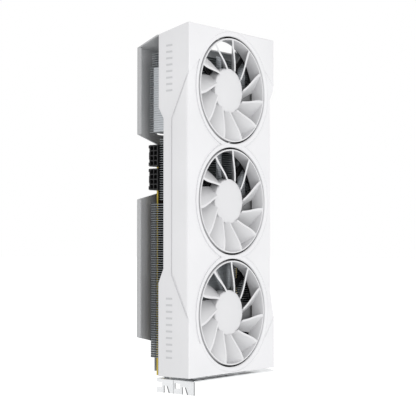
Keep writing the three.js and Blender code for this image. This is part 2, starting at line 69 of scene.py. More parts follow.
# Sizes that come from the frame
WIDTH, EDGE_DEPTH, LENGTH = card_box("shroud")[1]
DEPTH = card_box("backplate")[1].y
FANS = range(1, 4)
RING_BOXES = [card_box(f"fan_{k}_ring") for k in FANS]
FAN_CENTRES = [(low + high) / 2 for low, high in RING_BOXES]
FAN_X = FAN_CENTRES[0].x
ROTOR_R = (RING_BOXES[0][1].x - RING_BOXES[0][0].x) / 2
RIM_FRONT = RING_BOXES[0][0].y
BOARD_LOW, BOARD_HIGH = card_box("circuit_board")
BRACKET_LOW, BRACKET_HIGH = card_box("io_bracket")

# Sizes that the frame's boxes don't give
WALL = 2.2
SIDE_DEPTH = 33.6  # shroud's long outer wall, in its deep stretches
WAIST_DEPTH = 28.9  # the same wall, in its shallow middle stretch
WAIST = (77, 89, 214, 223)  # heights where that wall starts and stops stepping in, and out again
EDGE_STEP = (200, 210)  # heights where the motherboard-side wall steps up to SIDE_DEPTH
EDGE_NOTCH = (50, 122, 36.9)  # low end, high end and depth of the cut beside the edge connector
EDGE_WAIST = (45, 68, 238, 247)  # heights where that side starts and stops turning in, and out
EDGE_INSET = 5  # how far it turns in
CORNER_R = 2.6
OPENING_R = 46.0
BEZEL_R = 50.3  # outer edge of the step round each fan opening
END_SLOPE = 0.22  # of the shroud's far end
END_VENT = (12, 108, 15, 38.9)  # left, right, front and back
HUB_R = 19.3
HUB_FRONT = 5.0
ROTOR_BACK = 14.4
BLADES = 11
FAN_PHASES = (9.3, 6.5, 6.5)  # turn of each fan's first blade, in degrees
BEYOND = 9  # how far a cutting block passes the surface it cuts


# ---------------------------------------------------------------- materials


def new_material(name, color, roughness, metallic=0.0):
    """A material with its principled shader, ready for textures."""
    material = bpy.data.materials.new(name)
    material.use_nodes = True
    shader = material.node_tree.nodes["Principled BSDF"]
    shader.inputs["Base Color"].default_value = (*color, 1)
    shader.inputs["Roughness"].default_value = roughness
    shader.inputs["Metallic"].default_value = metallic
    return material, shader


def noise(material, scale, detail=3.0, stretch=(1, 1, 1)):
    """A noise texture in object space, stretched along the axes; scale is in cycles per metre."""
    nodes, links = material.node_tree.nodes, material.node_tree.links
    place = nodes.new("ShaderNodeTexCoord")
    mapping = nodes.new("ShaderNodeMapping")
    mapping.inputs["Scale"].default_value = stretch
    texture = nodes.new("ShaderNodeTexNoise")
    texture.inputs["Scale"].default_value = scale
    texture.inputs["Detail"].default_value = detail
    links.new(place.outputs["Object"], mapping.inputs["Vector"])
    links.new(mapping.outputs["Vector"], texture.inputs["Vector"])
    return texture.outputs["Fac"]


def vary_color(material, shader, factor, dark, light):
    """The base colour runs from dark to light with the factor."""
    ramp = material.node_tree.nodes.new("ShaderNodeValToRGB")
    ramp.color_ramp.elements[0].position = 0.3
    ramp.color_ramp.elements[0].color = (*dark, 1)
    ramp.color_ramp.elements[1].position = 0.7
    ramp.color_ramp.elements[1].color = (*light, 1)
    material.node_tree.links.new(factor, ramp.inputs["Fac"])
    material.node_tree.links.new(ramp.outputs["Color"], shader.inputs["Base Color"])


def vary_roughness(material, shader, factor, low, high):
    """The roughness runs from low to high with the factor."""
    spread = material.node_tree.nodes.new("ShaderNodeMapRange")
    spread.inputs["To Min"].default_value = low
    spread.inputs["To Max"].default_value = high
    material.node_tree.links.new(factor, spread.inputs["Value"])
    material.node_tree.links.new(spread.outputs["Result"], shader.inputs["Roughness"])


def bump(material, shader, factor, height):
    """Raises the surface with the factor, by up to height metres."""
    node = material.node_tree.nodes.new("ShaderNodeBump")
    node.inputs["Distance"].default_value = height
    node.inputs["Strength"].default_value = 1.0
    material.node_tree.links.new(factor, node.inputs["Height"])
    material.node_tree.links.new(node.outputs["Normal"], shader.inputs["Normal"])


def scaled(color, factor):
    """A colour made lighter or darker."""
    return tuple(min(1.0, part * factor) for part in color)


def moulded(name, color, roughness, grain=0.00002, grain_scale=2600):
    """Moulded plastic: fine spark-eroded grain, with slow changes of gloss and tone."""
    material, shader = new_material(name, color, roughness)
    vary_color(material, shader, noise(material, 22), scaled(color, 0.975), scaled(color, 1.02))
    vary_roughness(material, shader, noise(material, 140), roughness - 0.05, roughness + 0.06)
    bump(material, shader, noise(material, grain_scale, 2), grain)
    return material


def coated(name, color, roughness, metallic=0.0):
    """Powder coat on sheet metal: a soft orange peel with a fine speckle."""
    material, shader = new_material(name, color, roughness, metallic)
    vary_color(material, shader, noise(material, 900, 4), scaled(color, 0.94), scaled(color, 1.05))
    vary_roughness(material, shader, noise(material, 60), roughness - 0.06, roughness + 0.06)
    bump(material, shader, noise(material, 1500, 3), 0.00004)
    return material


def rolled(name, color, roughness, stretch, tone=0.12):
    """Rolled or brushed metal: fine lines along the axis that stretch leaves small."""
    material, shader = new_material(name, color, roughness, 1.0)
    lines = noise(material, 1100, 2, stretch)
    vary_color(material, shader, lines, scaled(color, 1 - tone), scaled(color, 1 + tone / 2))
    vary_roughness(material, shader, noise(material, 180), roughness - 0.08, roughness + 0.1)
    bump(material, shader, lines, 0.000012)
    return material


def solder_mask():
    """Black solder mask: faint raised tracks and a slightly uneven gloss."""
    material, shader = new_material("solder_mask", (0.012, 0.013, 0.014), 0.38)
    nodes, links = material.node_tree.nodes, material.node_tree.links
    place = nodes.new("ShaderNodeTexCoord")
    tracks = nodes.new("ShaderNodeTexBrick")
    tracks.inputs["Scale"].default_value = 160
    tracks.inputs["Mortar Size"].default_value = 0.03
    tracks.inputs["Color1"].default_value = (0.012, 0.013, 0.014, 1)
    tracks.inputs["Color2"].default_value = (0.017, 0.018, 0.02, 1)
    tracks.inputs["Mortar"].default_value = (0.03, 0.032, 0.034, 1)
    turn = nodes.new("ShaderNodeMapping")
    turn.inputs["Rotation"].default_value = (math.pi / 2, 0, 0)
    links.new(place.outputs["Object"], turn.inputs["Vector"])
    links.new(turn.outputs["Vector"], tracks.inputs["Vector"])
    links.new(tracks.outputs["Color"], shader.inputs["Base Color"])
    bump(material, shader, tracks.outputs["Fac"], 0.00003)
    return material


def board_edge():
    """Sawn glass fibre: thin yellow layers seen on the board's edge."""
    color = (0.6, 0.45, 0.05)
    material, shader = new_material("board_edge", color, 0.6)
    layers = noise(material, 900, 2, (0.05, 4, 0.05))
    vary_color(material, shader, layers, scaled(color, 0.7), scaled(color, 1.15))
    bump(material, shader, noise(material, 3000, 2), 0.00003)
    return material


def sheet_fins():
    """Dull grey sheet of the fins, with faint lines along its length."""
    color = (0.36, 0.385, 0.4)
    material, shader = new_material("fin_sheet", color, 0.6, 0.2)
    lines = noise(material, 1100, 2, (0.05, 1, 1))
    vary_color(material, shader, lines, scaled(color, 0.85), scaled(color, 1.1))
    vary_roughness(material, shader, noise(material, 180), 0.5, 0.68)
    bump(material, shader, lines, 0.000012)
    shader.inputs["Specular IOR Level"].default_value = 0.25
    return material


def wound():
    """Enamelled copper wire, wound round the fan's axis."""
    color = (0.62, 0.27, 0.12)
    material, shader = new_material("wound_copper", color, 0.3, 1.0)
    wires = noise(material, 2400, 1, (0.2, 3, 0.2))
    vary_color(material, shader, wires, scaled(color, 0.55), scaled(color, 1.15))
    bump(material, shader, wires, 0.00008)
    return material


SHELL_WHITE = moulded("shell_white", (0.655, 0.655, 0.667), 0.42)
# Painted shade: a near-black copy of the shell plastic for its inner faces that lie deep in shade; the
# real inside is the same white plastic.
SHELL_INSIDE_SHADE = moulded("shell_inside_painted_shade", (0.05, 0.05, 0.052), 0.55, 0.00003)
FAN_WHITE = moulded("fan_white", (0.6, 0.6, 0.611), 0.36, 0.00001)
# Painted shade: a dark grey for the white plastic cable covers, which sit in shade behind the blades.
COVER_SHADE_GREY = moulded("cover_painted_shade", (0.2, 0.2, 0.205), 0.5)
TICK_GREY = moulded("tick_grey", (0.5, 0.505, 0.515), 0.5)
# One coat in two copies: the inner copy is lighter, painted light for the shade inside the tray.
PLATE_OUTSIDE = coated("plate_outside", (0.4, 0.405, 0.412), 0.4, 0.2)
PLATE_INSIDE = coated("plate_inside", (0.48, 0.485, 0.495), 0.5, 0.2)
BLACK_PLASTIC = moulded("black_plastic", (0.011, 0.011, 0.012), 0.42, 0.00003)
SOCKET_BLACK = moulded("socket_black", (0.005, 0.005, 0.006), 0.6, 0.00002)
CHIP_BLACK = moulded("chip_black", (0.02, 0.02, 0.022), 0.4)
FIN_METAL = sheet_fins()
# Painted light: the folds are bent fin sheet, given this lighter, more diffuse copy so they look lit
# through the blades.
FOLD_LIT_COPY = coated("fold_sheet_painted_light", (0.52, 0.545, 0.572), 0.45, 0.25)
SHADED_FOLDS = coated("shaded_folds", (0.05, 0.053, 0.057), 0.6, 0.2)
BRACKET_METAL = rolled("bracket_steel", (0.8, 0.81, 0.82), 0.42, (0.06, 1, 1), 0.05)
# Painted shade: a dark copy of the bracket steel for the flange's cut edges and notch walls, which lie
# in shade.
NOTCH_SHADE_STEEL = rolled("notch_painted_shade", (0.12, 0.12, 0.125), 0.5, (1, 1, 0.2), 0.2)
SCREW_METAL = rolled("screw_steel", (0.6, 0.61, 0.62), 0.3, (1, 0.1, 1))
PIN_METAL = rolled("pin_metal", (0.2, 0.19, 0.17), 0.35, (0.1, 1, 1))
SPRING_METAL = rolled("spring_steel", (0.55, 0.56, 0.58), 0.28, (0.2, 1, 1))
COPPER = rolled("copper", (0.72, 0.39, 0.24), 0.28, (1, 1, 0.06))
PLATED = rolled("nickel_plate", (0.66, 0.64, 0.61), 0.22, (1, 1, 0.06), 0.05)
GOLD = rolled("gold", (0.83, 0.6, 0.2), 0.25, (1, 1, 0.2), 0.08)
PAD_GOLD = coated("pad_gold", (0.95, 0.68, 0.14), 0.4, 0.3)
BRONZE = rolled("sintered_bronze", (0.55, 0.38, 0.2), 0.45, (1, 1, 1), 0.2)
FERRITE = moulded("ferrite", (0.06, 0.062, 0.066), 0.3)
SILICON = rolled("silicon", (0.2, 0.21, 0.24), 0.12, (1, 1, 1), 0.05)
SOLDER_MASK = solder_mask()
BOARD_EDGE = board_edge()
WOUND_COPPER = wound()


# ---------------------------------------------------------------- mesh tools


def extrude(outline, along, low, high, bm=None):
    """A closed prism. The outline is (y, z) along x, (x, z) along y, or (x, y) along z."""
    bm = bm or bmesh.new()
    place = {
        "x": lambda a, b, c: (c, a, b),
        "y": lambda a, b, c: (a, c, b),
        "z": lambda a, b, c: (a, b, c),
    }[along]
    ends = [[bm.verts.new(place(a, b, level)) for a, b in outline] for level in (low, high)]
    bm.faces.new(ends[0])
    bm.faces.new(ends[1])
    for n in range(len(outline)):
        m = (n + 1) % len(outline)
        bm.faces.new((ends[0][n], ends[0][m], ends[1][m], ends[1][n]))
    return bm


def loft(outline_low, outline_high, along, low, high):
    """A closed prism whose outline changes from one end to the other."""
    bm = extrude(outline_low, along, low, high)
    bm.verts.ensure_lookup_table()
    axis = "xyz".index(along)
    across = [n for n in range(3) if n != axis]
    for vertex, outline in zip(bm.verts[len(outline_low):], outline_high):
        vertex.co[across[0]], vertex.co[across[1]] = outline
    return bm


def block(x, y, z, bm=None):
    """A closed box; x, y and z are (low, high) pairs."""
    outline = [(x[0], y[0]), (x[1], y[0]), (x[1], y[1]), (x[0], y[1])]
    return extrude(outline, "z", *z, bm)


def lathe(profile, x=0.0, z=0.0, segments=96, bm=None):
    """A (radius, y) profile turned about the y axis through (x, z) and closed on itself."""
    bm = bm or bmesh.new()
    columns = []
    for radius, y in profile:
        if radius == 0:
            columns.append([bm.verts.new((x, y, z))])
        else:
            turns = [2 * math.pi * k / segments for k in range(segments)]
            columns.append([
                bm.verts.new((x + radius * math.cos(a), y, z + radius * math.sin(a))) for a in turns
            ])
    for n, here in enumerate(columns):
        after = columns[(n + 1) % len(columns)]
        if len(here) == len(after) == 1:
            continue
        for k in range(segments):
            m = (k + 1) % segments
            corners = [here[k % len(here)], here[m % len(here)]]
            corners += [after[m % len(after)], after[k % len(after)]]
            bm.faces.new(list(dict.fromkeys(corners)))
    return bm


def disc(radius, y0, y1, x=0.0, z=0.0, segments=96, bm=None):
    """A closed cylinder along the y axis, from y0 to y1."""
    return lathe([(0, y0), (radius, y0), (radius, y1), (0, y1)], x, z, segments, bm)


def merge(*parts):
    """Several closed shells as one mesh."""
    whole = bmesh.new()
    for part in parts:
        mesh = bpy.data.meshes.new("part")
        part.to_mesh(mesh)
        part.free()
        whole.from_mesh(mesh)
        bpy.data.meshes.remove(mesh)
    return whole


def boolean(base, tool, operation="DIFFERENCE"):
    """The solid base with the tool cut away, joined on, or kept only where they meet."""
    objects = []
    for part in (base, tool):
        bmesh.ops.recalc_face_normals(part, faces=part.faces)
        mesh = bpy.data.meshes.new("part")
        part.to_mesh(mesh)
        part.free()
        obj = bpy.data.objects.new("part", mesh)
        bpy.context.scene.collection.objects.link(obj)
        objects.append(obj)
    modifier = objects[0].modifiers.new("boolean", "BOOLEAN")
    modifier.solver = "EXACT"
    modifier.operation = operation
    modifier.object = objects[1]
    result = bmesh.new()
    result.from_object(objects[0], bpy.context.evaluated_depsgraph_get())
    for obj in objects:
        mesh = obj.data
        bpy.data.objects.remove(obj)
        bpy.data.meshes.remove(mesh)
    return result


def round_edges(bm, chosen, radius, segments=5):
    """Rounds the edges for which chosen(edge) is true."""
    edges = [edge for edge in bm.edges if chosen(edge)]
    bmesh.ops.bevel(bm, geom=edges, offset=radius, segments=segments, profile=0.5, affect="EDGES")


def runs_along(axis, length=1.0):
    """A choice for round_edges: the edges that cover more than a length along an axis."""
    n = "xyz".index(axis)
    return lambda edge: abs(edge.verts[0].co[n] - edge.verts[1].co[n]) > length


def piece(name, bm, materials, body=CARD, replaces=(), choose=None, smooth=32, soften=0.0):
    """Makes a mesh in card millimetres into a piece that rides on a body.

    choose(face) gives the index of a face's material. soften is the radius of its small edges.
    """
    bmesh.ops.recalc_face_normals(bm, faces=bm.faces)
    for face in bm.faces:
        face.smooth = True
        if choose:
            face.material_index = choose(face)
    mesh = bpy.data.meshes.new(name)
    bm.to_mesh(mesh)
    bm.free()
    mesh.transform(INTO_FRAME)
    mesh.set_sharp_from_angle(angle=math.radians(smooth))
    for material in materials:
        mesh.materials.append(material)
    obj = bpy.data.objects.new(name, mesh)
    bpy.context.scene.collection.objects.link(obj)
    if soften:
        soft_edges(obj, soften)
    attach(obj, body)
    if replaces:
        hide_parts(*replaces)
    return obj


def soft_edges(obj, radius, segments=2):
    """A small round on every sharp edge of a finished piece."""
    modifier = obj.modifiers.new("soft_edges", "BEVEL")
    modifier.width = radius * MM
    modifier.segments = segments
    modifier.limit_method = "ANGLE"
    modifier.angle_limit = math.radians(35)
    modifier.harden_normals = True


def dress(node, material, radius=0.0):
    """A CAD node that stays: it gets its material, and its edges are softened."""
    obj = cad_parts[node]
    obj.data.materials.clear()
    obj.data.materials.append(material)
    if radius:
        soft_edges(obj, radius)


# ---------------------------------------------------------------- shroud


def shroud_end(y):
    """Height of the shroud's slanted far end at a depth."""
    return LENGTH - END_SLOPE * y


def near(a, b, slack=0.01):
    """Whether two measures agree."""
    return abs(a - b) < slack


def shroud_block(inset, corner, edge, sides=None):
    """The shroud's outer form, moved inwards by inset.

    corner is the radius of its long front edge on the outer side, edge that of the others; they
    stay sharp at 0. The long sides move inwards by sides, where it is given.
    """
    beside = inset if sides is None else sides
    back = EDGE_DEPTH + inset
    foot = -inset
    top = [shroud_end(y) - inset for y in (inset, back)]
    right = WIDTH - beside
    side = extrude([(inset, foot), (back, foot), (back, top[1]), (inset, top[0])],
                   "x", beside, right)
    waist = right - EDGE_INSET
    low, low_in, high_in, high = EDGE_WAIST
    face = extrude([
        (-BEYOND, -BEYOND), (right, -BEYOND), (right, low), (waist, low_in), (waist, high_in),
        (right, high), (right, LENGTH + BEYOND), (-BEYOND, LENGTH + BEYOND),
    ], "y", -BEYOND, back + BEYOND)
    body = boolean(side, face, "INTERSECT")

    def outer_front(line):
        return all(near(v.co.y, inset) and near(v.co.x, beside) for v in line.verts)

    def other_front_or_end(line):
        spots = [vertex.co for vertex in line.verts]
        at_right = all(near(spot.y, inset) and spot.x > FAN_X for spot in spots)
        at_end = all(near(spot.z, shroud_end(spot.y) - inset, 0.05) for spot in spots)
        return (at_right and not all(near(spot.z, foot) for spot in spots)) or at_end

    if corner:
        round_edges(body, outer_front, corner)
        round_edges(body, other_front_or_end, edge, 3)
    return body


PANEL_HIGH = 249  # where the lowered panels meet on the shroud's long front edge
PANEL_LOW = 49


def front_panel():
    """The space over the lowered part of the fan face, with sloping borders."""
    depth = 0.8
    reach = 3.0
    border_width = 0.9
    slope = border_width * (1 + reach / depth)
    corner_x, corner_high, corner_low = 14.6, 262.2, 28
    rise = (corner_high - PANEL_HIGH) / corner_x

    def border(spread, mirror):
        high, low = corner_high + spread, corner_low - spread
        points = [(-reach, PANEL_HIGH - reach * rise + spread), (corner_x, high), (FAN_X, high),
                  (FAN_X, low), (corner_x, low), (-reach, PANEL_LOW + reach * rise - spread)]
        return [(2 * FAN_X - x, z) for x, z in points] if mirror else points

    halves = [loft(border(slope, mirror), border(0, mirror), "y", -reach, depth)
              for mirror in (False, True)]
    panel = boolean(*halves, "UNION")
    for centre in FAN_CENTRES:
        panel = boolean(panel, disc(BEZEL_R + 0.1, -BEYOND, 40, centre.x, centre.z, 128))
    return boolean(panel, shroud_block(depth - 0.01, CORNER_R, 0.9, 0))


RIDGE_Y = 17.3  # back border of the long side's raised panel
RIDGE_HIGH = 211  # heights where that border meets the slanted ones
RIDGE_LOW = 86
RIDGE_REACH = 5  # how far in front of the fan face the slanted borders are drawn out
RIDGE_FLARE = 0.7  # how much wider the panel is at its foot, to each millimetre of its height
RELIEF = 0.9  # how far the raised panel stands out


def ridge(spread):
    """The long side's raised panel's border as (y, z) points, moved outwards by spread."""
    rise_high = (PANEL_HIGH - RIDGE_HIGH) / RIDGE_Y
    rise_low = (RIDGE_LOW - PANEL_LOW) / RIDGE_Y
    along = 2.4 * spread
    return [
        (-RIDGE_REACH, PANEL_HIGH + RIDGE_REACH * rise_high + along),
        (RIDGE_Y + spread, RIDGE_HIGH + along / 2),
        (RIDGE_Y + spread, RIDGE_LOW - along / 2),
        (-RIDGE_REACH, PANEL_LOW - RIDGE_REACH * rise_low - along),
    ]


def side_relief():
    """The space over the long side's lower parts: all but the raised panel beside the front."""
    behind, foot, top = 60, -BEYOND, LENGTH + BEYOND
    around = [(-RIDGE_REACH, foot), (behind, foot), (behind, top), (-RIDGE_REACH, top)]
    above, below = (around + ridge(RIDGE_FLARE * height) for height in (-RIDGE_REACH, RELIEF))
    return loft(above, below, "x", -RIDGE_REACH, RELIEF)


def ridge_groove():
    """A shallow groove at the foot of the raised panel."""
    near_side, far_side, groove_depth = 0.6, 1.9, 0.4
    return extrude(ridge(near_side) + ridge(far_side)[::-1], "x", -1, RELIEF + groove_depth)


def waist_slope():
    """The space over the long side's back strip, which slopes inwards along the waist."""
    start, flat, deep = RIDGE_Y + 2.0, RELIEF, 1.7
    low, low_in, high_in, high = WAIST

    def section(back_x):
        return [(-5, start), (RELIEF, start), (back_x, WAIST_DEPTH), (back_x, 60), (-5, 60)]

    stretches = ((low, low_in, flat, deep), (low_in, high_in, deep, deep), (high_in, high, deep, flat))
    return [loft(section(x0), section(x1), "z", z0, z1) for z0, z1, x0, x1 in stretches]


def back_rim(line):
    """Whether an edge is the back edge of the shroud's long outer wall."""
    outer = all(spot.co.x < 1.9 and spot.co.y > WAIST_DEPTH - 1 for spot in line.verts)
    if len(line.link_faces) != 2 or not outer:
        return False
    normals = [face.normal for face in line.link_faces]
    return max(n.y for n in normals) > 0.3 and min(n.x for n in normals) < -0.9


def shroud():
    """The white moulding: rounded, stepped round the fans, hollow, with dished fan openings."""
    body = shroud_block(0, CORNER_R, 0.9)
    body = boolean(body, front_panel())
    for relief in (side_relief(), *waist_slope(), ridge_groove()):
        body = boolean(body, relief)
    body = boolean(body, shroud_block(WALL, 0, 0))
    dish = [
        (0, -2), (BEZEL_R, -2), (BEZEL_R, 0), (49.8, 0.55), (49.2, 0.3), (47.2, 0.45),
        (46.6, 0.7), (46.2, 1.1), (OPENING_R, 1.7), (OPENING_R, 6), (0, 6),
    ]
    for centre in FAN_CENTRES:
        body = boolean(body, lathe(dish, centre.x, centre.z, 144))
    low, low_in, high_in, high = WAIST
    behind = EDGE_DEPTH + BEYOND
    outer = extrude([
        (behind, -BEYOND), (SIDE_DEPTH, -BEYOND), (SIDE_DEPTH, low), (WAIST_DEPTH, low_in),
        (WAIST_DEPTH, high_in), (SIDE_DEPTH, high), (SIDE_DEPTH, LENGTH), (behind, LENGTH),
    ], "x", -5, FAN_X)
    body = boolean(body, outer)
    round_edges(body, back_rim, 0.7, 3)
    step_low, step_high = EDGE_STEP
    edge = extrude([
        (behind, step_low), (EDGE_DEPTH, step_low), (SIDE_DEPTH, step_high), (SIDE_DEPTH, LENGTH),
        (behind, LENGTH),
    ], "x", FAN_X - 0.01, WIDTH + 5)
    body = boolean(body, edge)
    notch_low, notch_high, notch_y = EDGE_NOTCH
    body = boolean(body, block((FAN_X, WIDTH + 5), (notch_y, behind), (notch_low, notch_high)))
    left, right, front, _ = END_VENT
    body = boolean(body, block((left, right), (front, behind), (LENGTH - 20, LENGTH + 5)))

    # Painted shade: inner faces deep in the shell take the near-black copy in place of the white
    # plastic; faces at the far end, faces turned back and the outward faces on the motherboard side
    # stay white.
    def inside(face):
        centre = face.calc_center_median()
        towards_back = face.normal.y > 0.5
        deep = centre.y > WALL - 0.1 and WALL - 0.3 < centre.x < WIDTH - WALL + 0.3
        at_end = centre.z > shroud_end(centre.y) - WALL - 0.3
        outer_right = face.normal.x > 0.3 and centre.x > WIDTH - EDGE_INSET - 0.1
        return 1 if deep and not (at_end or towards_back or outer_right) else 0

    return piece("shroud_shell", body, [SHELL_WHITE, SHELL_INSIDE_SHADE],
                 replaces=["shroud"], choose=inside, soften=0.35)


def side_ticks():
    """Two plain rows of grey dashes, moulded into the long side."""
    half, spacing = 0.8, 5.2
    bm = bmesh.new()
    for z0, z1 in ((234, 277), (13, 67)):
        count = round((z1 - z0) / spacing)
        pitch = (z1 - z0) / count
        for n in range(count):
            z = z0 + (n + 0.5) * pitch
            block((RELIEF - 0.1, RELIEF + 0.3), (18.2, 24.9), (z - half, z + half), bm)
    return piece("side_dashes", bm, [TICK_GREY])


# ---------------------------------------------------------------- fans


def blade_section(radius, outward, start):
    """One closed section of a blade, as points round it.

    Its front edge is cut flat, parallel to the fan face, and it thins towards its back edge.
    """
    root_run, tip_run, lead_turn = 28, 21, 18
    run = radius * math.radians(root_run + (tip_run - root_run) * outward)
    lean = outward * (2 - outward)
    lead = math.radians(start + lead_turn * lean)
    front, back = 3.3 - 2.4 * lean, 13.6
    rise = back - front
    size = math.hypot(rise, run)
    half = 0.68
    sides = {-1: [], 1: []}
    for s in (0, 0.07, 0.14, 0.24, 0.36, 0.5, 0.64, 0.78, 0.9, 1.0):
        thick = half * (1 - 0.45 * s)
        for sign, points in sides.items():
            if s == 0:
                along, y = -sign * half * size / rise, front
            else:
                along = run * s - sign * thick * rise / size
                y = front + rise * s + sign * thick * run / size
            angle = lead - along / radius
            points.append((radius * math.cos(angle), y, radius * math.sin(angle)))
    return sides[-1] + sides[1][::-1]


def blades(start, centre, bm):
    """All the blades of one rotor, reaching a little into its hub and its rim."""
    inner, outer = HUB_R - 0.7, ROTOR_R - 0.9
    stations = 14
    for n in range(BLADES):
        phase = start + 360 * n / BLADES
        rings = []
        for k in range(stations + 1):
            radius = inner + (outer - inner) * k / stations
            outward = (radius - HUB_R) / (outer - HUB_R)
            points = blade_section(radius, outward, phase)
            rings.append([bm.verts.new((centre.x + x, y, centre.z + z)) for x, y, z in points])
        for here, after in zip(rings, rings[1:]):
            for m in range(len(here)):
                following = (m + 1) % len(here)
                bm.faces.new((here[m], here[following], after[following], after[m]))
        bm.faces.new(rings[0])
        bm.faces.new(rings[-1])
    return bm


def rotor(k):
    """One fan's moving moulding: hub cap, blades and rim ring."""
    centre = FAN_CENTRES[k - 1]
    wall = 1.6
    hub = [
        (0, HUB_FRONT), (HUB_R - 1.3, HUB_FRONT), (HUB_R - 0.6, HUB_FRONT + 0.15),
        (HUB_R - 0.15, HUB_FRONT + 0.6), (HUB_R, HUB_FRONT + 1.3), (HUB_R, ROTOR_BACK),
        (HUB_R - wall, ROTOR_BACK), (HUB_R - wall, HUB_FRONT + wall), (2.6, HUB_FRONT + wall),
        (2.6, HUB_FRONT + 2.6), (0, HUB_FRONT + 2.6),
    ]
    rim_inner = ROTOR_R - 1.3
    rim = [
        (rim_inner + 0.35, RIM_FRONT), (ROTOR_R - 0.35, RIM_FRONT), (ROTOR_R - 0.1, RIM_FRONT + 0.12),
        (ROTOR_R, RIM_FRONT + 0.4), (ROTOR_R, 13.3), (rim_inner + 0.4, 13.3),
        (rim_inner, RIM_FRONT + 0.4), (rim_inner + 0.1, RIM_FRONT + 0.12),
    ]
    bm = lathe(hub, centre.x, centre.z, 120)
    lathe(rim, centre.x, centre.z, 160, bm)
    blades(FAN_PHASES[k - 1], centre, bm)
    return piece(f"fan_{k}_blades", bm, [FAN_WHITE], f"fan_{k}",
                 [f"fan_{k}_rotor", f"fan_{k}_ring"], smooth=40)


def turned_block(x, y, z, angle, centre):
    """A box beside the fan's axis, turned about it."""
    bm = block(x, y, z)
    turn = Matrix.Translation((centre.x, 0, centre.z)) @ Matrix.Rotation(math.radians(angle), 4, "Y")
    bmesh.ops.transform(bm, matrix=turn, verts=bm.verts)
    return bm


def fan_frame(k):
    """The black frame that carries a motor: a round seat, four arms with feet, and a thin duct."""
    centre = FAN_CENTRES[k - 1]
    low, high = card_box(f"fan_{k}_frame")
    seat_front = high.y - 2
    parts = []
    for angle in (45, 135, 225, 315):
        parts.append(turned_block((12, 53), (seat_front, high.y), (-2.4, 2.4), angle, centre))
        parts.append(turned_block((48.4, 53), (low.y, high.y), (-3, 3), angle, centre))
    seat = lathe([
        (3.7, seat_front), (15.4, seat_front), (16.2, seat_front - 0.4), (17, seat_front - 0.4),
        (17, high.y), (3.7, high.y),
    ], centre.x, centre.z, 64)
    duct = lathe([
        (46.35, 2.7), (47.2, 2.7), (47.2, high.y), (46.35, high.y),
    ], centre.x, centre.z, 128)
    # Painted shade: this white plastic cover takes the dark grey that stands for the shade behind the
    # blades.
    cover = extrude([
        (seat_front, -9), (high.y, -9), (high.y, 7), (seat_front, 7), (seat_front, 5.8),
        (seat_front + 0.5, 5.4), (seat_front + 0.5, -7.4), (seat_front, -7.8),
    ], "x", 16.8, 46)
    bmesh.ops.translate(cover, vec=(centre.x, 0, centre.z), verts=cover.verts)
    piece(f"fan_{k}_cable_cover", cover, [COVER_SHADE_GREY], soften=0.2)
    return piece(f"fan_{k}_spider", merge(seat, duct, *parts), [BLACK_PLASTIC],
                 replaces=[f"fan_{k}_frame"], soften=0.2)


def stator(k):
    """The fan's winding: four wound poles round a core."""
    centre = FAN_CENTRES[k - 1]
    low, high = card_box(f"fan_{k}_stator")
    core = lathe([(3.8, low.y), (7, low.y), (7, high.y), (3.8, high.y)], centre.x, centre.z, 48)
    parts = [core]
    for angle in (0, 90, 180, 270):
        coil = turned_block((6.6, 11.4), (low.y + 0.2, high.y - 0.2), (-2.9, 2.9), angle, centre)
        round_edges(coil, lambda edge: edge.calc_length() > 4, 0.8, 3)
        shoe = turned_block((11.2, 13.4), (low.y, high.y), (-3.4, 3.4), angle, centre)
        parts += [coil, shoe]
    return piece(f"fan_{k}_winding", merge(*parts), [WOUND_COPPER],
                 replaces=[f"fan_{k}_stator"], soften=0.15)


# ---------------------------------------------------------------- cooler


FIN_PITCH = 1.95
FIN_SHEET = 0.35
FOLD = 0.3  # thickness of the folds that close the gaps between fins
FOLD_GAP = 0.12
FOLD_BACK = 45.9
CHANNEL_X = (31.5, 107)  # room for the heatpipes
CHANNEL_Y = (36.7, 43.7)
FLAP_X = 26
FRONT_FOLDS = ((60, 67), (90, 101))
FRONT_CLOSED = 96
STEP_BACK = 47.6


def fin_outline(x, front, back, edge_back, closed):
    """A fin's outline with the room it leaves for the heatpipes, open at the back or closed.

    Beside the board's edge it reaches as far back as edge_back.
    """
    channel_front = CHANNEL_Y[0]
    notch = [(CHANNEL_X[1], back), (CHANNEL_X[1], channel_front),
             (CHANNEL_X[0], channel_front), (CHANNEL_X[0], back)]
    if closed or back < channel_front:
        notch = []
    flap = [(FLAP_X, back), (FLAP_X, edge_back), (x[0], edge_back)]
    return [(x[0], front), (x[1], front), (x[1], back), *notch,
            *(flap if edge_back > back else [(x[0], back)])]


